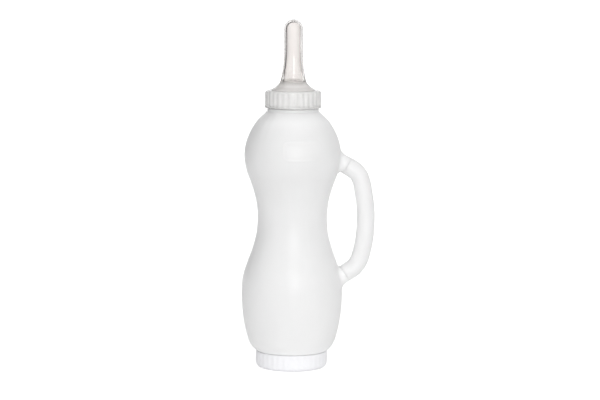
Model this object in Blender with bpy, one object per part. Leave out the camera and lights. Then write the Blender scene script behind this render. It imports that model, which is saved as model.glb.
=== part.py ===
"""Calf feeding bottle: a blow-moulded bottle with a tube handle, a screw-on teat and a screw-off base.

The bottle is an hourglass shell, open at both ends. At the top a clear collar screws down over the
flange of a hollow teat, and clamps a check valve (a seat, a floating disc and a cage) on the rim of
the neck. At the bottom a ribbed cap screws on against a flat seal, and is what the bottle stands on.

Frame: +Z up, the origin on the ground under the bottle's axis, the handle towards +X.
Every length below is in millimetres and every angle in degrees; mesh_object() turns them into metres.
"""

import math

import bmesh
import bpy
from mathutils import Vector

MM = 0.001

# ---- Driving dimensions ------------------------------------------------------------------------

HEIGHT = 425.0
GAP = 0.3  # between faces that touch on the real bottle

# Outer wall of the bottle from its foot to its neck: (height, radius), joined by one smooth curve.
OUTLINE = (
    (20.4, 42.6),
    (23.0, 46.6),
    (29.4, 51.3),
    (38.0, 54.5),
    (54.0, 58.2),
    (76.0, 60.8),
    (97.0, 61.3),
    (113.0, 59.5),
    (129.0, 54.6),
    (146.0, 48.5),
    (165.0, 43.7),
    (185.0, 42.3),
    (204.0, 44.1),
    (223.0, 49.3),
    (242.0, 56.2),
    (259.0, 58.8),
    (275.0, 57.0),
    (290.0, 51.3),
    (303.0, 43.1),
    (312.0, 33.8),
    (314.2, 31.7),
)
WALL = 1.8

# Screw finishes: the bottle's side of each thread. The caps' threads stand half a pitch away.
NECK_RADIUS = 28.7
NECK_BORE = 26.1
NECK_TOP = 332.1
BEAD_RADIUS = 31.3
BEAD_TOP = 318.0
FOOT_RADIUS = 39.2
FOOT_BORE = 36.2
FOOT_BOTTOM = 5.2
THREAD_DEPTH = 1.4
THREAD_CLEARANCE = 0.5
THREAD_TURNS = 1.25
THREAD_ROOT_WIDTH = 2.2
THREAD_CREST_WIDTH = 0.9
THREAD_BURIED = 0.8
NECK_PITCH = 4.5
NECK_THREAD_Z = 323.0
FOOT_PITCH = 5.0
FOOT_THREAD_Z = 8.0

# Collar.
COLLAR_BOTTOM = 318.6
COLLAR_TOP = 339.6
COLLAR_RADIUS = 33.4
COLLAR_RIBS = 30
COLLAR_OPENING = 26.7
COLLAR_PLATE = 2.4

# Base cap.
CAP_TOP = 20.0
CAP_RADIUS = 43.0
CAP_RIBS = 36
CAP_HEEL = 6.1
CAP_FLOOR = 2.4
RIB_HEIGHT = 0.7

# Teat.
TEAT_FLANGE = 30.2
TEAT_FLANGE_THICKNESS = 2.6
TEAT_TIP_RADIUS = 11.3
TEAT_BORE = 8.2
TEAT_BORE_TOP = 421.8
TEAT_OUTLET = 0.9

# Check valve.
SEAT_RADIUS = 28.9
SEAT_THICKNESS = 1.6
SEAT_BOSS = 9.0
SEAT_BOSS_HEIGHT = 2.0
PORT_COUNT = 6
PORT_RADIUS = 1.7
PORT_CIRCLE = 5.4
CAGE_BORE = 9.6
CAGE_RADIUS = 11.4
CAGE_TOP = 350.0
DISC_RADIUS = 8.6
DISC_THICKNESS = 1.2
DISC_TRAVEL = 2.0

# Handle: its centre line in the XZ plane, from the upper stub to the lower one: (x, z).
HANDLE_LINE = (
    (50.0, 257.3),
    (58.5, 252.3),
    (67.0, 247.4),
    (74.6, 242.7),
    (80.6, 236.6),
    (84.4, 227.0),
    (87.0, 213.0),
    (89.0, 199.0),
    (89.7, 184.0),
    (89.1, 168.0),
    (87.4, 154.0),
    (84.9, 142.0),
    (81.3, 131.2),
    (75.6, 123.1),
    (67.0, 117.0),
    (58.5, 111.1),
    (50.0, 105.2),
)
HANDLE_HALF_WIDTH = 10.8
HANDLE_HALF_DEPTH = 11.8
HANDLE_WALL = 2.0
STUB_INSET = 0.5  # how far the stubs stand inside the handle's outer surface
FLARE = 6.5  # how far the fillet between a stub and the bottle reaches along each of them
SEAM_AT = 19.0  # along the centre line from each of its ends to the joint between stub and handle
SPIGOT_LENGTH = 9.0


# ---- Mesh tools --------------------------------------------------------------------------------


def clear_scene():
    for obj in list(bpy.data.objects):
        bpy.data.objects.remove(obj, do_unlink=True)


def material(name, colour, roughness, alpha=1.0):
    made = bpy.data.materials.new(name)
    made.use_nodes = True
    shader = made.node_tree.nodes["Principled BSDF"]
    shader.inputs["Base Color"].default_value = (*colour, 1.0)
    shader.inputs["Roughness"].default_value = roughness
    shader.inputs["Metallic"].default_value = 0.0
    shader.inputs["Alpha"].default_value = alpha
    return made


def mesh_object(name, rings, look, capped=False, looped=False):
    """A closed mesh through rings of (x, y, z) points in millimetres. A ring of one point is a pole.
    capped closes the first and last ring with a face; looped joins the last ring to the first."""
    mesh = bmesh.new()
    rows = [[mesh.verts.new([c * MM for c in point]) for point in ring] for ring in rings]
    pairs = list(zip(rows, rows[1:])) + ([(rows[-1], rows[0])] if looped else [])
    for lower, upper in pairs:
        count = max(len(lower), len(upper))
        for i in range(count):
            j = (i + 1) % count
            corners = [lower[i % len(lower)], lower[j % len(lower)], upper[j % len(upper)], upper[i % len(upper)]]
            mesh.faces.new(list(dict.fromkeys(corners)))
    if capped:
        mesh.faces.new(rows[0])
        mesh.faces.new(rows[-1])
    bmesh.ops.recalc_face_normals(mesh, faces=mesh.faces)
    data = bpy.data.meshes.new(name)
    mesh.to_mesh(data)
    mesh.free()
    data.shade_smooth()
    data.set_sharp_from_angle(angle=math.radians(35))
    obj = bpy.data.objects.new(name, data)
    bpy.context.scene.collection.objects.link(obj)
    if look:
        data.materials.append(look)
    return obj


def even_angles(count):
    """Angles round the axis with no ribs: (angle, share of the rib's height)."""
    return [(360.0 * i / count, 0.0) for i in range(count)]


def ribbed_angles(ribs):
    """Angles that follow peaked ribs with a flat top, three to a rib."""
    shape = ((0.0, 0.0), (0.3, 1.0), (0.7, 1.0))
    return [(360.0 * (rib + at) / ribs, share) for rib in range(ribs) for at, share in shape]


def turned(name, profile, look, angles, looped=False):
    """A turned solid. profile holds (radius, height) or (radius, height, how much of the ribs shows)."""
    rings = []
    for radius, height, *ribbing in profile:
        if radius == 0:
            rings.append([(0.0, 0.0, height)])
            continue
        ring = []
        for angle, share in angles:
            reach = radius + (ribbing[0] * share * RIB_HEIGHT if ribbing else 0.0)
            turn = math.radians(angle)
            ring.append((reach * math.cos(turn), reach * math.sin(turn), height))
        rings.append(ring)
    return mesh_object(name, rings, look, looped=looped)


def smooth_curve(points, steps):
    """A Catmull-Rom curve through points, with steps spans between each two."""
    ends = [
        tuple(2 * a - b for a, b in zip(points[0], points[1])),
        tuple(2 * a - b for a, b in zip(points[-1], points[-2])),
    ]
    padded = [ends[0], *points, ends[1]]
    curve = []
    for i in range(1, len(padded) - 2):
        p0, p1, p2, p3 = padded[i - 1 : i + 3]
        for k in range(steps):
            t = k / steps
            curve.append(
                tuple(
                    0.5 * (2 * b + (c - a) * t + (2 * a - 5 * b + 4 * c - d) * t**2 + (3 * b - a - 3 * c + d) * t**3)
                    for a, b, c, d in zip(p0, p1, p2, p3)
                )
            )
    return [*curve, tuple(points[-1])]


def arc(centre_radius, centre_height, radius, start, end, steps):
    """(radius, height) points on an arc; 0 degrees points outwards and 90 up."""
    turns = [math.radians(start + (end - start) * i / steps) for i in range(steps + 1)]
    return [(centre_radius + radius * math.cos(a), centre_height + radius * math.sin(a)) for a in turns]


def combine(target, other, operation):
    """Joins other to target, or cuts it away, and keeps it as a hidden helper."""
    modifier = target.modifiers.new(other.name, "BOOLEAN")
    modifier.operation = operation
    modifier.solver = "EXACT"
    modifier.object = other
    other.hide_render = True
    other.display_type = "WIRE"


def thread_ridge(name, wall_radius, depth, pitch, start_height):
    """A right-hand screw ridge on a round wall: outside it if depth is positive, inside it if negative.
    Its ends run out into the wall over the first and last part of the turn."""
    steps_per_turn = 32
    run_out = 3
    steps = round(THREAD_TURNS * steps_per_turn)
    buried = math.copysign(THREAD_BURIED, depth)
    rings = []
    for i in range(steps + 1):
        turn = math.tau * i / steps_per_turn
        rise = min(1.0, i / run_out, (steps - i) / run_out)
        crest = wall_radius - 0.1 * buried + (depth + 0.1 * buried) * rise
        section = (
            (wall_radius - buried, -THREAD_ROOT_WIDTH / 2),
            (crest, -THREAD_CREST_WIDTH / 2),
            (crest, THREAD_CREST_WIDTH / 2),
            (wall_radius - buried, THREAD_ROOT_WIDTH / 2),
        )
        height = start_height + pitch * i / steps_per_turn
        rings.append([(r * math.cos(turn), r * math.sin(turn), height + z) for r, z in section])
    return mesh_object(name, rings, None, capped=True)


# ---- Bottle and handle -------------------------------------------------------------------------


def inner_outline(outline):
    """The outline moved inwards by the wall's thickness, square to the curve."""
    moved = []
    for before, here, after in zip(outline, outline[1:], outline[2:]):
        rise, spread = after[0] - before[0], after[1] - before[1]
        length = math.hypot(rise, spread)
        moved.append((here[0] + WALL * spread / length, here[1] - WALL * rise / length))
    return moved


def along_handle(steps=1):
    """The handle's centre line as (distance, x, z, direction x, direction z)."""
    line = smooth_curve(HANDLE_LINE, steps)
    rows, distance = [], 0.0
    for i, (x, z) in enumerate(line):
        before, after = line[max(i - 1, 0)], line[min(i + 1, len(line) - 1)]
        if i:
            distance += math.dist(line[i - 1], line[i])
        length = math.dist(before, after)
        rows.append((distance, x, z, (after[0] - before[0]) / length, (after[1] - before[1]) / length))
    return rows


def handle_ring(row, inset, count=20):
    """An oval ring of points square to the centre line, inset from the handle's outer surface."""
    _, x, z, along_x, along_z = row
    ring = []
    for i in range(count):
        turn = math.tau * i / count
        side = (HANDLE_HALF_WIDTH - inset) * math.cos(turn)
        ring.append((x + side * along_z, (HANDLE_HALF_DEPTH - inset) * math.sin(turn), z - side * along_x))
    return ring


def row_at(rows, distance):
    """The centre line's row at a distance along it."""
    for first, second in zip(rows, rows[1:]):
        if first[0] <= distance <= second[0]:
            share = (distance - first[0]) / (second[0] - first[0])
            return tuple(a + (b - a) * share for a, b in zip(first, second))
    return rows[-1]


def handle(look):
    rows = along_handle()
    end = rows[-1][0] - SEAM_AT
    middle = [row for row in rows if SEAM_AT + 2 < row[0] < end - 2]
    line = [row_at(rows, SEAM_AT), *middle, row_at(rows, end)]
    outside = [handle_ring(row, 0.0) for row in line]
    inside = [handle_ring(row, HANDLE_WALL) for row in line]
    return mesh_object("handle", outside + inside[::-1], look, looped=True)


def outline_radius(height):
    """The bottle's outer radius at a height."""
    for (low, low_radius), (high, high_radius) in zip(OUTLINE, OUTLINE[1:]):
        if low <= height <= high:
            return low_radius + (high_radius - low_radius) * (height - low) / (high - low)
    raise ValueError("the height is off the outline")


def on_outline(point, sunk):
    """The point moved square to the axis onto the bottle's wall, or below its surface by sunk."""
    x, y, z = point
    scale = (outline_radius(z) - sunk) / math.hypot(x, y)
    return Vector((x * scale, y * scale, z))


def flare_rings(inner, outer, steps=4):
    """Rings of the fillet where a tube's straight end meets the bottle, from the wall out to the tube.
    inner and outer are two rings of the tube, one inside the bottle and one outside it."""
    inner, outer = [Vector(p) for p in inner], [Vector(p) for p in outer]
    middle = sum(inner, Vector()) / len(inner)
    rings = [[] for _ in range(steps + 2)]
    for start, end in zip(inner, outer):
        along = (end - start).normalized()
        span = (end - start).length
        low, high = 0.0, span
        for _ in range(30):
            reach = (low + high) / 2
            x, y, z = start + along * reach
            low, high = (reach, high) if math.hypot(x, y) < outline_radius(z) else (low, reach)
        corner = start + along * low
        side = start - middle
        side = (side - along * side.dot(along)).normalized()
        radial = Vector((corner.x, corner.y, 0)).normalized()
        foot = on_outline(corner + (side - radial * side.dot(radial)).normalized() * FLARE, 0.25)
        top = start + along * min(low + FLARE, span - 0.8)
        rings[0].append(on_outline(foot, 1.2))
        for step in range(steps + 1):
            t = step / steps
            rings[step + 1].append(foot * (1 - t) ** 2 + corner * 2 * t * (1 - t) + top * t**2)
    return rings


def stub(name, from_end):
    """The boss that the handle's end fits on, with the spigot that goes inside the handle."""
    rows = along_handle()
    total = rows[-1][0]

    def ring(distance, inset):
        return handle_ring(row_at(rows, total - distance if from_end else distance), inset)

    spigot_inset = HANDLE_WALL + GAP
    shoulder = SEAM_AT - GAP
    rings = [
        *flare_rings(ring(0.0, STUB_INSET), ring(shoulder, STUB_INSET)),
        ring(shoulder, STUB_INSET),
        ring(shoulder, spigot_inset),
        ring(shoulder + SPIGOT_LENGTH - 1.0, spigot_inset),
        ring(shoulder + SPIGOT_LENGTH, spigot_inset + 1.0),
    ]
    return mesh_object(name, rings, None, capped=True)


def bottle_body(look):
    outline = smooth_curve(OUTLINE, 1)
    around = even_angles(44)
    outside = [
        (0.0, FOOT_BOTTOM),
        (FOOT_RADIUS - 0.5, FOOT_BOTTOM),
        (FOOT_RADIUS, FOOT_BOTTOM + 0.5),
        (FOOT_RADIUS, OUTLINE[0][0] - 0.1),
        *[(radius, height) for height, radius in outline],
        (BEAD_RADIUS, OUTLINE[-1][0] + 0.6),
        (BEAD_RADIUS, BEAD_TOP - 0.7),
        (BEAD_RADIUS - 0.7, BEAD_TOP),
        (NECK_RADIUS, BEAD_TOP + 0.2),
        (NECK_RADIUS, NECK_TOP - 0.5),
        (NECK_RADIUS - 0.5, NECK_TOP),
        (0.0, NECK_TOP),
    ]
    hollow = inner_outline(outline)[1:-1]
    cavity = [
        (0.0, FOOT_BOTTOM - 2.0),
        (FOOT_BORE, FOOT_BOTTOM - 2.0),
        (FOOT_BORE, OUTLINE[0][0] + 0.6),
        *[(radius, height) for height, radius in hollow],
        (NECK_BORE + 0.6, BEAD_TOP - 1.4),
        (NECK_BORE, BEAD_TOP - 0.2),
        (NECK_BORE, NECK_TOP + 2.0),
        (0.0, NECK_TOP + 2.0),
    ]
    body = turned("bottle_body", outside, look, around)
    combine(body, stub("stub_upper", False), "UNION")
    combine(body, stub("stub_lower", True), "UNION")
    combine(body, thread_ridge("neck_thread", NECK_RADIUS, THREAD_DEPTH, NECK_PITCH, NECK_THREAD_Z), "UNION")
    combine(body, thread_ridge("foot_thread", FOOT_RADIUS, THREAD_DEPTH, FOOT_PITCH, FOOT_THREAD_Z), "UNION")
    combine(body, turned("cavity", cavity, None, around), "DIFFERENCE")
    return body


# ---- Collar, teat and check valve --------------------------------------------------------------


def collar(look):
    inner = NECK_RADIUS + THREAD_DEPTH + THREAD_CLEARANCE
    corner = 3.0
    shoulder = arc(COLLAR_RADIUS - corner, COLLAR_TOP - corner, corner, 0, 90, 3)
    fade = (1.0, 0.6, 0.2, 0.0)
    profile = [
        (inner + 0.8, COLLAR_BOTTOM),
        (COLLAR_RADIUS + 1.0, COLLAR_BOTTOM),
        (COLLAR_RADIUS + 1.0, COLLAR_BOTTOM + 1.3),
        (COLLAR_RADIUS, COLLAR_BOTTOM + 1.9, 1.0),
        *[(radius, height, share) for (radius, height), share in zip(shoulder, fade)],
        (COLLAR_OPENING, COLLAR_TOP),
        (COLLAR_OPENING, COLLAR_TOP - COLLAR_PLATE),
        (inner, COLLAR_TOP - COLLAR_PLATE),
        (inner, COLLAR_BOTTOM + 0.8),
    ]
    made = turned("collar", profile, look, ribbed_angles(COLLAR_RIBS), looped=True)
    height = NECK_THREAD_Z - NECK_PITCH / 2
    combine(made, thread_ridge("collar_thread", inner, -THREAD_DEPTH, NECK_PITCH, height), "UNION")
    return made


def teat(look):
    flange_top = COLLAR_TOP - COLLAR_PLATE - GAP
    flange_bottom = flange_top - TEAT_FLANGE_THICKNESS
    neck = COLLAR_OPENING - GAP
    tip_centre = HEIGHT - TEAT_TIP_RADIUS
    flare = smooth_curve(
        (
            (neck, COLLAR_TOP + 0.6),
            (24.2, 342.0),
            (21.9, 343.4),
            (19.3, 345.6),
            (16.9, 348.4),
            (15.5, 351.2),
            (14.4, 355.6),
            (13.6, 360.6),
            (12.5, 368.0),
            (11.6, 378.0),
            (11.3, 390.0),
            (TEAT_TIP_RADIUS, tip_centre),
        ),
        1,
    )
    outer_tip = arc(0, tip_centre, TEAT_TIP_RADIUS, 0, math.degrees(math.acos(TEAT_OUTLET / TEAT_TIP_RADIUS)), 6)
    bore_centre = TEAT_BORE_TOP - TEAT_BORE
    inner_tip = arc(0, bore_centre, TEAT_BORE, math.degrees(math.acos(TEAT_OUTLET / TEAT_BORE)), 0, 4)
    profile = [
        (23.0, flange_bottom),
        (TEAT_FLANGE, flange_bottom),
        (TEAT_FLANGE, flange_top),
        (neck, flange_top),
        *flare,
        *outer_tip[1:],
        *inner_tip,
        (8.2, 390.0),
        (8.5, 378.0),
        (9.4, 368.0),
        (10.6, 360.0),
        (11.2, CAGE_TOP + 2.0),
        (CAGE_RADIUS + 0.6, CAGE_TOP + 0.6),
        (CAGE_RADIUS + 0.7, 349.0),
        (13.2, 346.5),
        (16.2, 343.2),
        (20.4, 340.6),
        (22.6, 338.0),
    ]
    return turned("teat", profile, look, even_angles(36), looped=True)


def seat_levels():
    """Heights of the valve seat: the plate's underside and top, and the boss's top."""
    top = COLLAR_TOP - COLLAR_PLATE - TEAT_FLANGE_THICKNESS - 2 * GAP
    return top - SEAT_THICKNESS, top, top + SEAT_BOSS_HEIGHT


def cylinder(name, radius, bottom, top, x=0.0, y=0.0, count=16):
    ends = []
    for height in (bottom, top):
        turns = [math.tau * i / count for i in range(count)]
        ends.append([(x + radius * math.cos(a), y + radius * math.sin(a), height) for a in turns])
    return mesh_object(name, ends, None, capped=True)


def bar(name, low, high, turn=0.0):
    """A rectangular bar between two corners, turned about the Z axis."""
    cosine, sine = math.cos(math.radians(turn)), math.sin(math.radians(turn))
    rings = []
    for z in (low[2], high[2]):
        flat = ((low[0], low[1]), (high[0], low[1]), (high[0], high[1]), (low[0], high[1]))
        rings.append([(x * cosine - y * sine, x * sine + y * cosine, z) for x, y in flat])
    return mesh_object(name, rings, None, capped=True)


def valve_seat(look):
    bottom, top, boss_top = seat_levels()
    profile = [
        (0.0, bottom),
        (SEAT_RADIUS, bottom),
        (SEAT_RADIUS, top),
        (SEAT_BOSS, top),
        (SEAT_BOSS, boss_top),
        (0.0, boss_top),
    ]
    made = turned("valve_seat", profile, look, even_angles(48))
    for i in range(PORT_COUNT):
        turn = math.tau * (i + 0.2) / PORT_COUNT
        x, y = PORT_CIRCLE * math.cos(turn), PORT_CIRCLE * math.sin(turn)
        combine(made, cylinder(f"port_{i + 1}", PORT_RADIUS, bottom - 1, boss_top + 1, x, y, 12), "DIFFERENCE")
    groove = bar("air_groove", (NECK_BORE - 4, -0.7, bottom - 1), (SEAT_RADIUS + 2, 0.7, bottom + 0.6), 90)
    combine(made, groove, "DIFFERENCE")
    return made


def valve_cage(look):
    _, plate_top, boss_top = seat_levels()
    bottom = plate_top + GAP
    bars_bottom = boss_top + GAP + DISC_THICKNESS + DISC_TRAVEL + GAP
    bars_top = bars_bottom + 1.5
    profile = [
        (CAGE_BORE, bottom),
        (CAGE_RADIUS + 2.0, bottom),
        (CAGE_RADIUS + 2.0, bottom + 1.2),
        (CAGE_RADIUS, bottom + 1.2),
        (CAGE_RADIUS, CAGE_TOP - 0.5),
        (CAGE_RADIUS - 0.5, CAGE_TOP),
        (CAGE_BORE, CAGE_TOP),
    ]
    made = turned("valve_cage", profile, look, even_angles(32), looped=True)
    reach = (CAGE_BORE + CAGE_RADIUS) / 2
    for i in range(3):
        spoke = bar(f"spoke_{i + 1}", (-0.6, -0.9, bars_bottom), (reach, 0.9, bars_top), 120 * i)
        combine(made, spoke, "UNION")
    combine(made, cylinder("spoke_hub", 2.2, bars_bottom - 0.2, bars_top + 0.2), "UNION")
    return made


def valve_disc(look):
    bottom = seat_levels()[2] + GAP
    top = bottom + DISC_THICKNESS
    profile = [(0.0, bottom), (DISC_RADIUS, bottom), (DISC_RADIUS, top), (0.0, top)]
    return turned("valve_disc", profile, look, even_angles(32))


# ---- Base --------------------------------------------------------------------------------------


def base_cap(look):
    inner = FOOT_RADIUS + THREAD_DEPTH + THREAD_CLEARANCE
    heel = arc(CAP_RADIUS + RIB_HEIGHT - CAP_HEEL, CAP_HEEL, CAP_HEEL, -90, -15, 4)
    ring_top = CAP_FLOOR + 2.0
    profile = [
        (0.0, 0.0),
        *heel,
        (CAP_RADIUS, CAP_HEEL + 1.2, 1.0),
        (CAP_RADIUS, CAP_TOP - 1.4, 1.0),
        (CAP_RADIUS - 0.3, CAP_TOP),
        (inner, CAP_TOP),
        (inner, CAP_FLOOR),
        (FOOT_BORE - 1.6, CAP_FLOOR),
        (FOOT_BORE - 1.6, ring_top),
        (FOOT_BORE - 2.8, ring_top),
        (FOOT_BORE - 2.8, CAP_FLOOR),
        (0.0, CAP_FLOOR),
    ]
    made = turned("base_cap", profile, look, ribbed_angles(CAP_RIBS))
    height = FOOT_THREAD_Z + FOOT_PITCH / 2
    combine(made, thread_ridge("cap_thread", inner, -THREAD_DEPTH, FOOT_PITCH, height), "UNION")
    return made


def base_seal(look):
    bottom, top = CAP_FLOOR + 0.2, FOOT_BOTTOM - 0.2
    inner, outer = FOOT_BORE - 1.2, FOOT_RADIUS + 1.2
    profile = [(inner, bottom), (outer, bottom), (outer, top), (inner, top)]
    return turned("base_seal", profile, look, even_angles(48), looped=True)


# ---- Assembly ----------------------------------------------------------------------------------


def main():
    clear_scene()
    milky = material("milky_polyethylene", (0.86, 0.87, 0.87), 0.38)
    clear = material("clear_plastic", (0.88, 0.87, 0.84), 0.12, 0.55)
    silicone = material("clear_silicone", (0.90, 0.87, 0.85), 0.18, 0.5)
    white = material("white_polypropylene", (0.92, 0.92, 0.94), 0.3)
    insert = material("natural_polypropylene", (0.80, 0.79, 0.75), 0.35)
    bottle_body(milky)
    handle(milky)
    collar(clear)
    teat(silicone)
    valve_seat(insert)
    valve_cage(insert)
    valve_disc(silicone)
    base_cap(white)
    base_seal(silicone)


main()
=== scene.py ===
"""Looks of a calf feeding bottle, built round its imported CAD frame.

Every piece is made here in millimetres, in the CAD's frame: +Z up, the origin under the bottle's axis,
the handle towards +X. The driving sizes repeat the CAD's, and heights come from the CAD's own boxes.
"""

import math

import bmesh  # noqa: E402
import bpy  # noqa: E402
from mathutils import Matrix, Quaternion, Vector  # noqa: E402


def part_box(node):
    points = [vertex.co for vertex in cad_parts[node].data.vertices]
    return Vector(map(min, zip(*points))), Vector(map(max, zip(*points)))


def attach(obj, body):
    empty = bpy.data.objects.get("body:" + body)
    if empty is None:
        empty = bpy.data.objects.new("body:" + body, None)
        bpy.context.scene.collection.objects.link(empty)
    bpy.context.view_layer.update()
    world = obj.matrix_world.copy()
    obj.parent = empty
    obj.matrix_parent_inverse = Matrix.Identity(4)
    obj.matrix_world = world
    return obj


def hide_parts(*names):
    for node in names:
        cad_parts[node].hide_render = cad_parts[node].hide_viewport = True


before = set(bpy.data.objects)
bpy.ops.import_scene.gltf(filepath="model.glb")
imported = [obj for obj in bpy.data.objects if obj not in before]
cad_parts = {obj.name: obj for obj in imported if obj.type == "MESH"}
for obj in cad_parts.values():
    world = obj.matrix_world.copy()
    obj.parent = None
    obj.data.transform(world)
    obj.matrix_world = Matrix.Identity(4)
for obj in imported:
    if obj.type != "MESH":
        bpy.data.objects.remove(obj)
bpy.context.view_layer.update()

MM = 0.001
SHARP = 40  # degrees between two faces, from which their edge shows as a crease

# ---- Sizes, in millimetres ---------------------------------------------------------------------

OUTLINE = (
    (20.4, 42.6),
    (23.0, 46.6),
    (29.4, 51.3),
    (38.0, 54.5),
    (54.0, 58.2),
    (76.0, 60.8),
    (97.0, 61.3),
    (113.0, 59.5),
    (129.0, 54.6),
    (146.0, 48.5),
    (165.0, 43.7),
    (185.0, 42.3),
    (204.0, 44.1),
    (223.0, 49.3),
    (242.0, 56.2),
    (259.0, 58.8),
    (275.0, 57.0),
    (290.0, 51.3),
    (303.0, 43.1),
    (312.0, 33.8),
    (314.2, 31.7),
)
WALL = 1.8
NECK_RADIUS = 28.7
NECK_BORE = 26.1
BEAD_RADIUS = 31.3
BEAD_TOP = 318.0
FOOT_RADIUS = 39.2
FOOT_BORE = 36.2
NECK_PITCH = 4.5
NECK_THREAD_Z = 323.0
FOOT_PITCH = 5.0
FOOT_THREAD_Z = 8.0
THREAD_DEPTH = 1.4
THREAD_TURNS = 1.25
HANDLE_LINE = (
    (50.0, 257.3),
    (58.5, 252.3),
    (67.0, 247.4),
    (74.6, 242.7),
    (80.6, 236.6),
    (84.4, 227.0),
    (87.0, 213.0),
    (89.0, 199.0),
    (89.7, 184.0),
    (89.1, 168.0),
    (87.4, 154.0),
    (84.9, 142.0),
    (81.3, 131.2),
    (75.6, 123.1),
    (67.0, 117.0),
    (58.5, 111.1),
    (50.0, 105.2),
)
HANDLE_HALF_WIDTH = 10.8
HANDLE_HALF_DEPTH = 11.8
HANDLE_WALL = 2.0
SEAM_AT = 19.0
FLARE = 6.5


def heights(node):
    low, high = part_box(node)
    return low.z / MM, high.z / MM


FOOT_BOTTOM, NECK_TOP = heights("bottle_body")
COLLAR_BOTTOM, COLLAR_TOP = heights("collar")
FLANGE_BOTTOM, TIP = heights("teat")
CAP_TOP = heights("base_cap")[1]


# ---- Mesh tools --------------------------------------------------------------------------------


def mesh_object(name, rings, look, body, replaced=(), looped=False, capped=False, sharp=SHARP):
    """A closed mesh through rings of (x, y, z) points. A ring of one point is a pole."""
    mesh = bmesh.new()
    rows = [[mesh.verts.new([c * MM for c in point]) for point in ring] for ring in rings]
    pairs = list(zip(rows, rows[1:])) + ([(rows[-1], rows[0])] if looped else [])
    for lower, upper in pairs:
        count = max(len(lower), len(upper))
        for i in range(count):
            j = (i + 1) % count
            below = [lower[i % len(lower)], lower[j % len(lower)]]
            above = [upper[j % len(upper)], upper[i % len(upper)]]
            mesh.faces.new(list(dict.fromkeys(below + above)))
    if capped:
        mesh.faces.new(rows[0])
        mesh.faces.new(rows[-1])
    bmesh.ops.recalc_face_normals(mesh, faces=mesh.faces)
    data = bpy.data.meshes.new(name)
    mesh.to_mesh(data)
    mesh.free()
    data.shade_smooth()
    data.set_sharp_from_angle(angle=math.radians(sharp))
    obj = bpy.data.objects.new(name, data)
    bpy.context.scene.collection.objects.link(obj)
    if look:
        data.materials.append(look)
    if body:
        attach(obj, body)
        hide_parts(*replaced)
    return obj


def catmull_rom(a, b, c, d, t):
    """The value at t, from 0 to 1, of the smooth curve from b to c."""
    return 0.5 * (2 * b + (c - a) * t + (2 * a - 5 * b + 4 * c - d) * t**2 + (3 * b - a - 3 * c + d) * t**3)


def smooth_curve(points, steps):
    """A Catmull-Rom curve through points, with steps spans between each two."""
    ends = [
        tuple(2 * a - b for a, b in zip(points[0], points[1])),
        tuple(2 * a - b for a, b in zip(points[-1], points[-2])),
    ]
    padded = [ends[0], *points, ends[1]]
    curve = []
    for i in range(1, len(padded) - 2):
        for k in range(steps):
            curve.append(tuple(catmull_rom(*four, k / steps) for four in zip(*padded[i - 1 : i + 3])))
    return [*curve, tuple(points[-1])]


def rounded(corners, steps=4):
    """A polyline of (radius, height, rounding) corners, with each corner rounded off by its rounding."""
    points = []
    for i, (radius, height, fillet) in enumerate(corners):
        here = Vector((radius, height))
        if fillet == 0:
            points.append((radius, height))
            continue
        before = Vector(corners[i - 1][:2])
        after = Vector(corners[(i + 1) % len(corners)][:2])
        start = here + (before - here).normalized() * fillet
        end = here + (after - here).normalized() * fillet
        for k in range(steps + 1):
            t = k / steps
            point = start * (1 - t) ** 2 + here * 2 * t * (1 - t) + end * t**2
            points.append((point.x, point.y))
    return points


def even_angles(count):
    return [360.0 * i / count for i in range(count)]


def focused_angles(coarse, fine, spans):
    """Angles round the axis, with steps of coarse degrees, or of fine ones inside any span (low, high)."""
    angles, angle = [], 0.0
    while angle < 360 - 1e-6:
        angles.append(angle)
        near = any(low <= (angle + turn) < high for low, high in spans for turn in (-360, 0))
        angle += fine if near else coarse
    return angles


def lathe(profile, angles, shift=None):
    """Rings of a turned shape. shift(angle in degrees, radius, height, index) moves a point outwards."""
    rings = []
    for index, (radius, height) in enumerate(profile):
        if radius == 0:
            rings.append([(0.0, 0.0, height)])
            continue
        ring = []
        for angle in angles:
            reach = radius + (shift(angle, radius, height, index) if shift else 0.0)
            turn = math.radians(angle)
            ring.append((reach * math.cos(turn), reach * math.sin(turn), height))
        rings.append(ring)
    return rings


def ramp(value, low, high):
    """0 below low and 1 above high, with a smooth rise between them."""
    t = min(1.0, max(0.0, (value - low) / (high - low)))
    return t * t * (3 - 2 * t)


def combine(target, other, operation):
    modifier = target.modifiers.new(other.name, "BOOLEAN")
    modifier.operation = operation
    modifier.solver = "EXACT"
    modifier.object = other


def apply_modifiers(obj):
    """Bakes obj's modifiers into its mesh and removes their helpers."""
    helpers = [m.object for m in obj.modifiers if m.type == "BOOLEAN"]
    graph = bpy.context.evaluated_depsgraph_get()
    made = bpy.data.meshes.new_from_object(obj.evaluated_get(graph))
    obj.modifiers.clear()
    obj.data = made
    made.shade_smooth()
    made.set_sharp_from_angle(angle=math.radians(SHARP))
    for helper in helpers:
        bpy.data.objects.remove(helper, do_unlink=True)


def thread_ridge(name, wall_radius, depth, pitch, start_height, steps_per_turn=72):
    """A right-hand screw ridge with run-out ends, outside a round wall or, with depth negative, inside it."""
    run_out = steps_per_turn / 9
    steps = round(THREAD_TURNS * steps_per_turn)
    buried = math.copysign(0.8, depth)
    rings = []
    for i in range(steps + 1):
        turn = math.tau * i / steps_per_turn
        rise = ramp(min(i, steps - i), 0, run_out)
        crest = wall_radius - 0.1 * buried + (depth + 0.1 * buried) * rise
        section = (
            (wall_radius - buried, -1.1),
            (wall_radius + depth * 0.55 * rise, -0.75),
            (crest, -0.35),
            (crest, 0.35),
            (wall_radius + depth * 0.55 * rise, 0.75),
            (wall_radius - buried, 1.1),
        )
        height = start_height + pitch * i / steps_per_turn
        rings.append([(r * math.cos(turn), r * math.sin(turn), height + z) for r, z in section])
    return mesh_object(name, rings, None, None, capped=True)


# ---- Materials ---------------------------------------------------------------------------------


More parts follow.
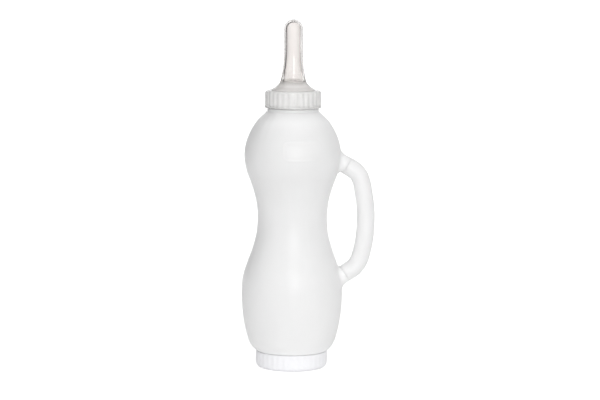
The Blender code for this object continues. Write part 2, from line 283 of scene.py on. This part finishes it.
def fill_ramp(colour_ramp, stops):
    """Gives a colour ramp these (position, colour) stops."""
    elements = colour_ramp.elements
    elements.remove(elements[1])
    elements[0].position = stops[0][0]
    elements[0].color = (*stops[0][1], 1)
    for at, colour in stops[1:]:
        elements.new(at).color = (*colour, 1)


class Look:
    """A Principled material and short calls that wire up procedural detail."""

    def __init__(self, name, **sockets):
        self.material = bpy.data.materials.new(name)
        self.material.use_nodes = True
        self.tree = self.material.node_tree
        self.shader = self.tree.nodes["Principled BSDF"]
        for socket, value in sockets.items():
            self.shader.inputs[socket.replace("_", " ")].default_value = value

    def node(self, kind, inputs=None, **settings):
        made = self.tree.nodes.new(kind)
        for key, value in settings.items():
            setattr(made, key, value)
        for socket, value in (inputs or {}).items():
            if isinstance(value, bpy.types.NodeSocket):
                self.tree.links.new(value, made.inputs[socket])
            else:
                made.inputs[socket].default_value = value
        return made

    def math(self, operation, *values):
        return self.node("ShaderNodeMath", dict(enumerate(values)), operation=operation).outputs[0]

    def link(self, output, socket):
        self.tree.links.new(output, self.shader.inputs[socket])

    def place(self, scale=(1, 1, 1)):
        where = self.node("ShaderNodeTexCoord").outputs["Object"]
        return self.node("ShaderNodeMapping", {"Vector": where, "Scale": scale}).outputs["Vector"]

    def noise(self, scale, detail=3.0, rough=0.5, stretch=(1, 1, 1)):
        inputs = {"Vector": self.place(stretch), "Scale": scale, "Detail": detail, "Roughness": rough}
        return self.node("ShaderNodeTexNoise", inputs).outputs["Fac"]

    def streaks(self, count, along):
        """Noise that varies round the Z axis, count times a turn, and only slowly along it."""
        where = self.node("ShaderNodeTexCoord").outputs["Object"]
        split = self.node("ShaderNodeSeparateXYZ", {"Vector": where})
        around = self.math("ARCTAN2", split.outputs["Y"], split.outputs["X"])
        spread = self.math("MULTIPLY", around, count / math.tau)
        rise = self.math("MULTIPLY", split.outputs["Z"], along)
        spot = self.node("ShaderNodeCombineXYZ", {"X": spread, "Z": rise}).outputs[0]
        return self.node("ShaderNodeTexNoise", {"Vector": spot, "Scale": 1.0, "Detail": 3.0}).outputs["Fac"]

    def between(self, factor, low, high, from_low=0.3, from_high=0.7):
        """low to high, as factor goes from from_low to from_high, which are most of a noise's range."""
        inputs = {"Value": factor, "From Min": from_low, "From Max": from_high, "To Min": low, "To Max": high}
        return self.node("ShaderNodeMapRange", inputs).outputs["Result"]

    def height(self):
        """How high the point is, in metres."""
        where = self.node("ShaderNodeTexCoord").outputs["Object"]
        return self.node("ShaderNodeSeparateXYZ", {"Vector": where}).outputs["Z"]

    def scaled(self, colour, factor):
        inputs = {0: colour, "Scale": factor}
        return self.node("ShaderNodeVectorMath", inputs, operation="SCALE").outputs["Vector"]

    def colours(self, factor, *stops):
        """A colour from (position, colour) stops."""
        ramp_node = self.node("ShaderNodeValToRGB", {"Fac": factor})
        fill_ramp(ramp_node.color_ramp, stops)
        return ramp_node.outputs["Color"]

    def bumps(self, *layers):
        """Stacks (height, strength, distance in mm) layers of bump on the shader's normal."""
        normal = None
        for height, strength, distance in layers:
            inputs = {"Height": height, "Strength": strength, "Distance": distance * MM}
            if normal:
                inputs["Normal"] = normal
            normal = self.node("ShaderNodeBump", inputs).outputs["Normal"]
        self.link(normal, "Normal")


def milky_plastic(name, tone, shade_above_waist=1.0):
    """Natural blow-moulded polyethylene: milky, satin, faintly wavy, with fine grain from the mould.

    The last argument scales its colour above the waist: painted shade that makes the globe darker than the
    waist.
    """
    look = Look(
        name,
        IOR=1.51,
        Subsurface_Weight=0.55,
        Subsurface_Radius=(1.0, 1.0, 1.0),
        Subsurface_Scale=0.006,
        Specular_IOR_Level=0.42,
    )
    cloud = look.noise(14, 4, 0.55, (1, 1, 0.5))
    dark = tuple(c * 0.975 for c in tone)
    # Painted shade: the base colour is scaled down above the waist, so the globe looks darker.
    painted_shade_above_waist = look.between(look.height(), 1.0, shade_above_waist, 0.195, 0.235)
    look.link(look.scaled(look.colours(cloud, (0.32, dark), (0.68, tone)), painted_shade_above_waist), "Base Color")
    look.link(look.between(look.noise(70, 3), 0.285, 0.345), "Roughness")
    waves = look.streaks(16, 6)
    grain = look.noise(1500, 3, 0.6)
    scuffs = look.noise(60, 5, 0.65, (1, 1, 0.15))
    look.bumps((waves, 0.35, 2.0), (look.streaks(70, 9), 0.06, 0.5), (scuffs, 0.08, 0.4), (grain, 0.14, 0.05))
    return look.material


def clear_plastic():
    """Clear polypropylene, a little hazy, with flow lines from moulding."""
    look = Look("clear_collar", IOR=1.46, Specular_IOR_Level=0.5)
    haze = look.noise(120, 4, 0.6, (1, 1, 0.3))
    look.link(look.colours(haze, (0.3, (0.975, 0.97, 0.96)), (0.7, (0.99, 0.987, 0.98))), "Base Color")
    look.link(look.between(haze, 0.08, 0.16), "Roughness")
    streaked = look.between(look.streaks(26, 60), 0.3, 0.38)
    skirt = look.between(look.height(), 0.25, 0.0, 0.319, 0.324)
    look.link(look.math("ADD", streaked, skirt), "Transmission Weight")
    flow = look.noise(45, 3, 0.5, (1, 1, 0.2))
    fine = look.noise(900, 2, 0.5)
    look.bumps((flow, 0.18, 0.6), (fine, 0.06, 0.05))
    return look.material


def clear_silicone():
    """Clear silicone with a faint warm tint and a soft surface. Its foot is frosted."""
    look = Look("teat_silicone", IOR=1.41)
    drift = look.noise(55, 3, 0.5, (1, 1, 0.35))
    look.link(look.colours(drift, (0.3, (0.95, 0.9215, 0.906)), (0.7, (0.969, 0.949, 0.935))), "Base Color")
    look.link(look.between(look.noise(160, 3), 0.09, 0.13), "Roughness")
    look.link(look.between(look.height(), 0.37, 0.95, 0.345, 0.3525), "Transmission Weight")
    return look.material


def white_plastic():
    """Glossy white injection-moulded plastic with a slightly blue cast."""
    look = Look("white_cap", IOR=1.49)
    blotch = look.noise(30, 3, 0.5)
    look.link(look.colours(blotch, (0.3, (0.85, 0.85, 0.875)), (0.7, (0.88, 0.88, 0.90))), "Base Color")
    look.link(look.between(look.noise(140, 4, 0.6), 0.285, 0.36), "Roughness")
    look.bumps((look.noise(35, 2), 0.1, 0.5), (look.noise(1400, 3, 0.6), 0.12, 0.04))
    return look.material


THIN_SUBSURFACE = {"Subsurface_Weight": 0.4, "Subsurface_Radius": (1, 1, 1), "Subsurface_Scale": 0.002}


def inner_plastic():
    """Natural polypropylene of the valve's seat and cage."""
    look = Look("valve_plastic", IOR=1.49, **THIN_SUBSURFACE)
    drift = look.noise(90, 3)
    look.link(look.colours(drift, (0.3, (0.94, 0.915, 0.905)), (0.7, (0.965, 0.945, 0.935))), "Base Color")
    look.link(look.between(drift, 0.28, 0.42), "Roughness")
    look.bumps((look.noise(1100, 3), 0.12, 0.05))
    return look.material


def seal_rubber():
    """Matt translucent silicone rubber of the disc and the base seal."""
    look = Look("seal_rubber", IOR=1.41, **THIN_SUBSURFACE)
    drift = look.noise(110, 3)
    look.link(look.colours(drift, (0.3, (0.80, 0.79, 0.77)), (0.7, (0.88, 0.87, 0.85))), "Base Color")
    look.link(look.between(drift, 0.45, 0.6), "Roughness")
    look.bumps((look.noise(700, 3), 0.2, 0.06))
    return look.material


def floor_paint():
    """White paint that the camera sees evenly lit. It gives less light far to the left, and more behind."""
    look = Look("pale_floor", Roughness=0.9, Specular_IOR_Level=0.1)
    where = look.node("ShaderNodeTexCoord").outputs["Object"]
    split = look.node("ShaderNodeSeparateXYZ", {"Vector": where}).outputs
    far_left = look.between(split["X"], 1.0, 0.0, *FLOOR_LEFT)
    look.link(look.colours(far_left, (0.0, (0.94, 0.94, 0.94)), (1.0, (0.15, 0.15, 0.15))), "Base Color")
    seen = look.node("ShaderNodeLightPath").outputs["Is Camera Ray"]
    shown = look.between(far_left, 0.4, 1.0, 0.0, 1.0)
    given = look.between(split["Y"], 0.1, 0.3, *FLOOR_BEHIND)
    look.link(look.math("MULTIPLY_ADD", seen, shown, given), "Emission Strength")
    look.shader.inputs["Emission Color"].default_value = (1, 1, 1, 1)
    return look.material


# ---- Bottle and handle -------------------------------------------------------------------------

BODY_CURVE = smooth_curve(OUTLINE, 8)

# (height, radius) all the way up the outside. The panel's stretch has finer steps, which take the
# radius from the curve.
PANEL_SPAN = (255.0, 286.0)
BODY_STATIONS = sorted(
    [point for point in BODY_CURVE if not PANEL_SPAN[0] < point[0] < PANEL_SPAN[1]]
    + [(PANEL_SPAN[0] + 0.5 * i, None) for i in range(1, 62)]
)


def outline_radius(height):
    for (low, low_radius), (high, high_radius) in zip(BODY_CURVE, BODY_CURVE[1:]):
        if low <= height <= high:
            return low_radius + (high_radius - low_radius) * (height - low) / (high - low)
    raise ValueError("the height is off the outline")


BODY_ANGLES = focused_angles(1.5, 0.5, ((-3, 3), (177, 183), (252, 312)))


def parting_line(angle, height):
    """The mould's parting line: a fine ridge down both sides, in the handle's plane."""
    away = min(abs(angle), abs(angle - 180), abs(angle - 360))
    return 0.16 * math.exp(-((away / 0.55) ** 2)) * ramp(height, 24, 30) * (1 - ramp(height, 306, 311))


PANEL_TURN = -78.0
PANEL_HEIGHT = 270.5
PANEL_HALF = (24.0, 11.5)
PANEL_ROUND = 7.0


def panel_relief(angle, radius, height):
    """A plain raised border with rounded corners, high on the front."""
    across = math.radians((angle - PANEL_TURN + 180) % 360 - 180) * radius
    dx = abs(across) - (PANEL_HALF[0] - PANEL_ROUND)
    dz = abs(height - PANEL_HEIGHT) - (PANEL_HALF[1] - PANEL_ROUND)
    edge = math.hypot(max(dx, 0), max(dz, 0)) + min(max(dx, dz), 0) - PANEL_ROUND
    border = math.exp(-((edge / 1.1) ** 2))
    pad = 1 - ramp(edge, -5.0, -3.2)
    return 0.26 * border + 0.14 * pad


def body_shift(angle, radius, height, index):
    if not 21 < height < 315 or radius < 30:
        return 0.0
    return parting_line(angle, height) + panel_relief(angle, radius, height)


def inner_outline(outline):
    moved = []
    for before, here, after in zip(outline, outline[1:], outline[2:]):
        rise, spread = after[0] - before[0], after[1] - before[1]
        length = math.hypot(rise, spread)
        moved.append((here[0] + WALL * spread / length, here[1] - WALL * rise / length))
    return moved


def along_handle(steps=6):
    line = smooth_curve(HANDLE_LINE, steps)
    rows, distance = [], 0.0
    for i, (x, z) in enumerate(line):
        before, after = line[max(i - 1, 0)], line[min(i + 1, len(line) - 1)]
        if i:
            distance += math.dist(line[i - 1], line[i])
        length = math.dist(before, after)
        rows.append((distance, x, z, (after[0] - before[0]) / length, (after[1] - before[1]) / length))
    return rows


def handle_ring(row, inset, count=72, ridge=False):
    _, x, z, along_x, along_z = row
    ring = []
    for i in range(count):
        turn = math.tau * i / count
        away = min(i % (count // 2), count // 2 - i % (count // 2)) * 360 / count
        lift = 0.16 * math.exp(-((away / 2.5) ** 2)) if ridge else 0.0
        side = (HANDLE_HALF_WIDTH - inset + lift) * math.cos(turn)
        ring.append((x + side * along_z, (HANDLE_HALF_DEPTH - inset) * math.sin(turn), z - side * along_x))
    return ring


def row_at(rows, distance):
    for first, second in zip(rows, rows[1:]):
        if first[0] <= distance <= second[0]:
            share = (distance - first[0]) / (second[0] - first[0])
            return tuple(a + (b - a) * share for a, b in zip(first, second))
    return rows[-1]


def make_handle(look):
    rows = along_handle()
    end = rows[-1][0] - SEAM_AT
    middle = [row for row in rows if SEAM_AT + 2 < row[0] < end - 2]
    lips = [(-0.2, 0.3), (-0.1, 0.1), (0.3, 0.0)]
    outside = [handle_ring(row_at(rows, SEAM_AT + d), inset, ridge=True) for d, inset in lips]
    outside += [handle_ring(row, 0.0, ridge=True) for row in middle]
    outside += [handle_ring(row_at(rows, end - d), inset, ridge=True) for d, inset in lips[::-1]]
    inside = [handle_ring(row, HANDLE_WALL) for row in [row_at(rows, SEAM_AT), *middle, row_at(rows, end)]]
    rings = outside + inside[::-1]
    mesh_object("handle_shell", rings, look, "bottle", ["handle"], looped=True, sharp=60)


def on_outline(point, sunk):
    """The point moved straight in or out to sit sunk millimetres under the bottle's surface."""
    x, y, z = point
    scale = (outline_radius(z) - sunk) / math.hypot(x, y)
    return Vector((x * scale, y * scale, z))


def flare_rings(inner, outer, steps=12):
    """Rings of the fillet where a tube's straight end meets the bottle, from the wall out to the tube."""
    inner, outer = [Vector(p) for p in inner], [Vector(p) for p in outer]
    middle = sum(inner, Vector()) / len(inner)
    rings = [[] for _ in range(steps + 2)]
    for start, end in zip(inner, outer):
        along = (end - start).normalized()
        span = (end - start).length
        low, high = 0.0, span
        for _ in range(30):
            reach = (low + high) / 2
            x, y, z = start + along * reach
            low, high = (reach, high) if math.hypot(x, y) < outline_radius(z) else (low, reach)
        corner = start + along * low
        side = start - middle
        side = (side - along * side.dot(along)).normalized()
        radial = Vector((corner.x, corner.y, 0)).normalized()
        foot = on_outline(corner + (side - radial * side.dot(radial)).normalized() * FLARE, 0.08)
        top = start + along * min(low + FLARE, span - 0.8)
        rings[0].append(on_outline(foot, 1.2))
        for step in range(steps + 1):
            t = step / steps
            rings[step + 1].append(foot * (1 - t) ** 2 + corner * 2 * t * (1 - t) + top * t**2)
    return rings


STUB_INSET = 0.15
SPIGOT_INSET = 2.3


def stub(name, from_end):
    """A stub that grows out of the bottle, with the spigot that the handle's end slides over."""
    rows = along_handle()
    total = rows[-1][0]

    def ring(distance, inset):
        return handle_ring(row_at(rows, total - distance if from_end else distance), inset)

    shoulder = SEAM_AT - 0.3
    rings = [
        *flare_rings(ring(0.0, STUB_INSET), ring(shoulder, STUB_INSET)),
        ring(shoulder - 0.3, STUB_INSET),
        ring(shoulder, STUB_INSET + 0.25),
        ring(shoulder, SPIGOT_INSET),
        ring(shoulder + 8.0, SPIGOT_INSET),
        ring(shoulder + 9.0, SPIGOT_INSET + 1.0),
    ]
    return mesh_object(name, rings, None, None, capped=True)


def stub_bore(name, from_end):
    """The blind hollow inside a stub, open to the handle's own hollow."""
    rows = along_handle()
    total = rows[-1][0]
    spans = ((SEAM_AT - 6.5, 6.2), (SEAM_AT - 5.5, 4.8), (SEAM_AT + 11.0, 4.8))
    rings = [handle_ring(row_at(rows, total - d if from_end else d), inset) for d, inset in spans]
    return mesh_object(name, rings, None, None, capped=True)


def make_body(look):
    """The hourglass, turned solid, joined to its stubs and threads and then hollowed."""
    outside = [(0.0, FOOT_BOTTOM), (FOOT_RADIUS - 0.5, FOOT_BOTTOM), (FOOT_RADIUS, FOOT_BOTTOM + 0.5)]
    outside += [(FOOT_RADIUS, CAP_TOP + 0.1), (CAP_RADIUS - 0.5, CAP_TOP + 0.12), (CAP_RADIUS, CAP_TOP + 0.4)]
    stations = [station for station in BODY_STATIONS if station[0] > CAP_TOP + 0.9]
    outside += [(radius or outline_radius(height), height) for height, radius in stations]
    outside += [
        (BEAD_RADIUS + 0.05, OUTLINE[-1][0] + 0.35),
        (BEAD_RADIUS, OUTLINE[-1][0] + 0.9),
        (BEAD_RADIUS, BEAD_TOP - 0.9),
        (BEAD_RADIUS - 0.2, BEAD_TOP - 0.35),
        (BEAD_RADIUS - 0.8, BEAD_TOP),
        (NECK_RADIUS, BEAD_TOP + 0.2),
        (NECK_RADIUS, NECK_TOP - 0.5),
    ]
    outside += [(NECK_RADIUS - 0.5, NECK_TOP), (0.0, NECK_TOP)]
    hollow = inner_outline(BODY_CURVE)[12:-18:3]
    cavity = [(0.0, FOOT_BOTTOM - 2), (FOOT_BORE, FOOT_BOTTOM - 2), (FOOT_BORE, 21.0)]
    cavity += [(radius, height) for height, radius in hollow]
    cavity += [(NECK_BORE + 0.6, BEAD_TOP - 1.4), (NECK_BORE, BEAD_TOP - 0.2), (NECK_BORE, NECK_TOP + 2)]
    cavity += [(0.0, NECK_TOP + 2)]
    body = mesh_object("bottle_shell", lathe(outside, BODY_ANGLES, body_shift), look, None)
    combine(body, stub("stub_upper", False), "UNION")
    combine(body, stub("stub_lower", True), "UNION")
    combine(body, stub_bore("bore_upper", False), "DIFFERENCE")
    combine(body, stub_bore("bore_lower", True), "DIFFERENCE")
    combine(body, thread_ridge("neck_thread", NECK_RADIUS, THREAD_DEPTH, NECK_PITCH, NECK_THREAD_Z), "UNION")
    combine(body, thread_ridge("foot_thread", FOOT_RADIUS, THREAD_DEPTH, FOOT_PITCH, FOOT_THREAD_Z), "UNION")
    combine(body, mesh_object("cavity", lathe(cavity, even_angles(120)), None, None), "DIFFERENCE")
    apply_modifiers(body)
    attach(body, "bottle")
    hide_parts("bottle_body")


# ---- Collar, teat and base ---------------------------------------------------------------------

COLLAR_RADIUS = 33.4
COLLAR_RIBS = 30
COLLAR_OPENING = 26.7
COLLAR_PLATE = 2.4
CAP_RADIUS = 43.0
CAP_RIBS = 36
CAP_HEEL = 6.1
CAP_FLOOR = 2.4
RIB_HEIGHT = 0.7
CAP_RIB_DEPTH = 0.4


def rib_wave(angle, ribs):
    """Rounded trapezoid ribs: 0 in the grooves and 1 on the ribs."""
    phase = (angle * ribs / 360.0) % 1.0
    return ramp(abs(phase - 0.5), 0.14, 0.36)


def make_collar(look):
    inner = NECK_RADIUS + THREAD_DEPTH + 0.5
    profile = rounded(
        [
            (inner + 0.5, COLLAR_BOTTOM, 0.3),
            (COLLAR_RADIUS + 1.0, COLLAR_BOTTOM, 0.45),
            (COLLAR_RADIUS + 1.0, COLLAR_BOTTOM + 1.7, 0.5),
            (COLLAR_RADIUS, COLLAR_BOTTOM + 2.1, 0.2),
            (COLLAR_RADIUS, COLLAR_TOP, 3.0),
            (COLLAR_OPENING, COLLAR_TOP, 0.5),
            (COLLAR_OPENING, COLLAR_TOP - COLLAR_PLATE, 0.2),
            (inner, COLLAR_TOP - COLLAR_PLATE, 0.4),
        ],
        6,
    )

    def ribs(angle, radius, height, index):
        if radius < COLLAR_RADIUS - 3.2:
            return 0.0
        starts = ramp(height, COLLAR_BOTTOM + 1.6, COLLAR_BOTTOM + 2.2)
        ends = 1 - ramp(height, COLLAR_TOP - 2.4, COLLAR_TOP)
        return RIB_HEIGHT * rib_wave(angle, COLLAR_RIBS) * (starts * ends)

    rings = lathe(profile, even_angles(360), ribs)
    made = mesh_object("collar_ring", rings, look, None, looped=True)
    ridge = thread_ridge("collar_thread", inner, -THREAD_DEPTH, NECK_PITCH, NECK_THREAD_Z - NECK_PITCH / 2)
    combine(made, ridge, "UNION")
    apply_modifiers(made)
    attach(made, "collar")
    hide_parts("collar")


def arc(centre_radius, centre_height, radius, start, end, steps):
    """(radius, height) points on a round corner, from start to end in degrees."""
    turns = [math.radians(start + (end - start) * i / steps) for i in range(steps + 1)]
    return [(centre_radius + radius * math.cos(a), centre_height + radius * math.sin(a)) for a in turns]


TEAT_FLANGE = 30.2
TEAT_TIP_RADIUS = 11.3
TEAT_BORE = 8.2
TEAT_OUTLET = 0.9
CAGE_TOP = 350.0
CAGE_RADIUS = 11.4


def make_teat(look):
    flange_top = COLLAR_TOP - COLLAR_PLATE - 0.3
    neck = COLLAR_OPENING - 0.3
    tip_centre = TIP - TEAT_TIP_RADIUS
    outer = smooth_curve(
        (
            (neck, COLLAR_TOP + 0.6),
            (24.2, 342.0),
            (21.9, 343.4),
            (19.3, 345.6),
            (16.9, 348.4),
            (15.5, 351.2),
            (14.4, 355.6),
            (13.6, 360.6),
            (12.5, 368.0),
            (11.6, 378.0),
            (11.3, 390.0),
            (TEAT_TIP_RADIUS, tip_centre),
        ),
        8,
    )
    outlet = math.degrees(math.acos(TEAT_OUTLET / TEAT_TIP_RADIUS))
    inner_outlet = math.degrees(math.acos(TEAT_OUTLET / TEAT_BORE))
    inner = smooth_curve(
        (
            (TEAT_BORE, tip_centre),
            (8.2, 390.0),
            (8.5, 378.0),
            (9.4, 368.0),
            (10.6, 360.0),
            (11.2, CAGE_TOP + 2.0),
            (CAGE_RADIUS + 0.6, CAGE_TOP + 0.6),
            (CAGE_RADIUS + 0.7, 349.0),
            (13.2, 346.5),
            (16.2, 343.2),
            (20.4, 340.6),
            (22.6, 338.0),
        ),
        6,
    )
    flange = [
        (23.0, FLANGE_BOTTOM, 0),
        (TEAT_FLANGE, FLANGE_BOTTOM, 0.5),
        (TEAT_FLANGE, flange_top, 0.5),
        (neck, flange_top, 0),
    ]
    profile = [
        *rounded(flange),
        *outer,
        *arc(0, tip_centre, TEAT_TIP_RADIUS, 0, outlet, 60)[1:],
        *arc(0, tip_centre, TEAT_BORE, inner_outlet, 0, 48),
        *inner[1:],
    ]
    rings = lathe(profile, even_angles(288))
    mesh_object("teat_skin", rings, look, "teat_set", ["teat"], looped=True, sharp=50)


def make_base_cap(look):
    inner = FOOT_RADIUS + THREAD_DEPTH + 0.5
    reach = CAP_RADIUS + RIB_HEIGHT
    heel = arc(reach - CAP_HEEL, CAP_HEEL, CAP_HEEL, -90, 0, 16)
    ring_top = CAP_FLOOR + 2.0
    profile = [(0.0, 0.0), (20.0, 0.0), *heel]
    profile += [(reach, h) for h in (7.5, 9.0, 11.0, 13.0, 15.0, 17.0)]
    profile += rounded(
        [(reach, 18.2, 0), (CAP_RADIUS + 0.3, CAP_TOP, 0.3), (inner, CAP_TOP, 0.3), (inner, CAP_FLOOR, 0)]
    )
    profile += [
        (FOOT_BORE - 1.6, CAP_FLOOR),
        (FOOT_BORE - 1.6, ring_top),
        (FOOT_BORE - 2.8, ring_top),
        (FOOT_BORE - 2.8, CAP_FLOOR),
        (0.0, CAP_FLOOR),
    ]

    def ribs(angle, radius, height, index):
        if radius < CAP_RADIUS - 3.0 or index > len(profile) - 6:
            return 0.0
        fade = ramp(height, 1.0, 6.0) * (1 - ramp(height, 18.4, 19.6))
        return -CAP_RIB_DEPTH * (1 - rib_wave(angle, CAP_RIBS)) * fade

    made = mesh_object("base_cap_shell", lathe(profile, even_angles(432), ribs), look, None)
    ridge = thread_ridge("cap_thread", inner, -THREAD_DEPTH, FOOT_PITCH, FOOT_THREAD_Z + FOOT_PITCH / 2)
    combine(made, ridge, "UNION")
    apply_modifiers(made)
    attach(made, "base_cap")
    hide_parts("base_cap")


def dress(node, look):
    """Gives a finished material to a CAD node that no finer shell replaces."""
    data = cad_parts[node].data
    data.materials.clear()
    data.materials.append(look)


# ---- Stage -------------------------------------------------------------------------------------

CAMERA_DISTANCE = 2.847
CAMERA_HEIGHT = 0.559
AIM_HEIGHT = 0.2034
LENS = 141.1
ROLL = 0.38
SHIFT = (0.01255, 0.0026)

# Across FLOOR_LEFT, in metres along X, the floor gets brighter from the left. Across FLOOR_BEHIND, along Y,
# it gives more light the further it is behind the bottle.
FLOOR_LEFT = (-1.6, -0.9)
FLOOR_BEHIND = (0.6, 1.6)
FLOOR_HALF = 6
FLOOR_DROP = 0.0002

# Each softbox's place, aim, (width, height) and power in watts.
SOFTBOXES = {
    "key": ((0.35, -3.3, 0.95), (0, 0, 0.2), (1.1, 1.1), 19.5),
    "top": ((0.2, -1.4, 2.0), (0, 0, 0.2), (0.6, 0.6), 1.5),
}


def make_floor():
    mesh = bmesh.new()
    bmesh.ops.create_grid(mesh, x_segments=8, y_segments=8, size=FLOOR_HALF)
    data = bpy.data.meshes.new("floor")
    mesh.to_mesh(data)
    mesh.free()
    floor = bpy.data.objects.new("floor", data)
    floor.location.z = -FLOOR_DROP
    bpy.context.scene.collection.objects.link(floor)
    data.materials.append(floor_paint())


def softbox(name, place, aim, size, power):
    light = bpy.data.lights.new(name, "AREA")
    light.shape = "RECTANGLE"
    light.size, light.size_y = size
    light.energy = power
    lamp = bpy.data.objects.new(name, light)
    lamp.location = place
    lamp.rotation_euler = (Vector(aim) - Vector(place)).to_track_quat("-Z", "Y").to_euler()
    bpy.context.scene.collection.objects.link(lamp)


# How bright the studio is at the bottle's level, from behind it (0) round by its left side (0.25), its
# front (0.5) and its right side (0.75) to behind again. Then how bright it is overhead and in the dark
# veil behind, and how strong all of it is.
STUDIO_ROUND = (
    (0.0, 1.0),
    (0.05, 0.9),
    (0.1, 0.35),
    (0.14, 0.05),
    (0.19, 0.08),
    (0.26, 0.3),
    (0.35, 0.7),
    (0.43, 0.95),
    (0.5, 1.05),
    (0.57, 1.0),
    (0.64, 0.65),
    (0.7, 0.35),
    (0.79, 0.25),
    (0.86, 0.5),
    (0.92, 0.7),
    (1.0, 1.0),
)
STUDIO_TOP = 1.0
STUDIO_VEIL = 0.06
STUDIO_STRENGTH = 1.1


def make_sky():
    """A white studio, darker on both sides and in a veil behind. The camera sees it plain white."""
    world = bpy.data.worlds.new("studio")
    bpy.context.scene.world = world
    world.use_nodes = True
    nodes, link = world.node_tree.nodes, world.node_tree.links.new

    def math_node(operation, *values):
        made = nodes.new("ShaderNodeMath")
        made.operation = operation
        for socket, value in zip(made.inputs, values):
            if isinstance(value, bpy.types.NodeSocket):
                link(value, socket)
            else:
                socket.default_value = value
        return made.outputs[0]

    def mix(factor, first, second):
        made = nodes.new("ShaderNodeMix")
        made.data_type = "RGBA"
        link(factor, made.inputs[0])
        for socket, value in ((made.inputs[6], first), (made.inputs[7], second)):
            if isinstance(value, bpy.types.NodeSocket):
                link(value, socket)
            else:
                socket.default_value = (value, value, value, 1)
        return made.outputs[2]

    def spread(value, none, full):
        made = nodes.new("ShaderNodeMapRange")
        made.interpolation_type = "SMOOTHSTEP"
        link(value, made.inputs["Value"])
        made.inputs["From Min"].default_value = none
        made.inputs["From Max"].default_value = full
        return made.outputs["Result"]

    split = nodes.new("ShaderNodeSeparateXYZ")
    link(nodes.new("ShaderNodeTexCoord").outputs["Generated"], split.inputs[0])
    away = math_node("MULTIPLY", split.outputs["Y"], -1)
    azimuth = math_node("ARCTAN2", split.outputs["X"], away)
    around = math_node("MULTIPLY_ADD", azimuth, 1 / math.tau, 0.5)
    greys = nodes.new("ShaderNodeValToRGB")
    greys.color_ramp.interpolation = "EASE"
    fill_ramp(greys.color_ramp, [(at, (grey, grey, grey)) for at, grey in STUDIO_ROUND])
    link(around, greys.inputs["Fac"])
    climb = math_node("MULTIPLY", split.outputs["Z"], split.outputs["Z"])
    lit = mix(climb, greys.outputs["Color"], STUDIO_TOP)
    back = split.outputs["Y"]
    behind = math_node("MULTIPLY", spread(back, 0.2, 0.42), spread(back, 0.9, 0.75))
    veil = math_node("MULTIPLY", behind, spread(split.outputs["X"], 0.5, 0.1))
    lit = mix(veil, lit, STUDIO_VEIL)
    seen = mix(nodes.new("ShaderNodeLightPath").outputs["Is Camera Ray"], lit, 1.0)
    link(seen, nodes["Background"].inputs["Color"])
    nodes["Background"].inputs["Strength"].default_value = STUDIO_STRENGTH


def make_camera():
    data = bpy.data.cameras.new("camera")
    data.lens = LENS
    data.sensor_width = 36
    data.shift_x, data.shift_y = SHIFT
    camera = bpy.data.objects.new("camera", data)
    camera.location = (0, -CAMERA_DISTANCE, CAMERA_HEIGHT)
    aim = Vector((0, 0, AIM_HEIGHT)) - camera.location
    level = aim.to_track_quat("-Z", "Y")
    camera.rotation_euler = (level @ Quaternion((0, 0, 1), math.radians(ROLL))).to_euler()
    bpy.context.scene.collection.objects.link(camera)
    bpy.context.scene.camera = camera


def main():
    # The body's 0.955 is painted shade above the waist.
    milky = milky_plastic("milky_body", (0.94, 0.94, 0.94), 0.955)
    make_body(milky)
    make_handle(milky_plastic("milky_handle", (0.95, 0.95, 0.95)))
    make_collar(clear_plastic())
    make_teat(clear_silicone())
    make_base_cap(white_plastic())
    valve = inner_plastic()
    rubber = seal_rubber()
    for node in ("valve_seat", "valve_cage"):
        dress(node, valve)
    for node in ("valve_disc", "base_seal"):
        dress(node, rubber)
    make_floor()
    make_sky()
    for name, settings in SOFTBOXES.items():
        softbox(name, *settings)
    make_camera()
    bpy.context.scene.view_settings.view_transform = "Standard"


main()
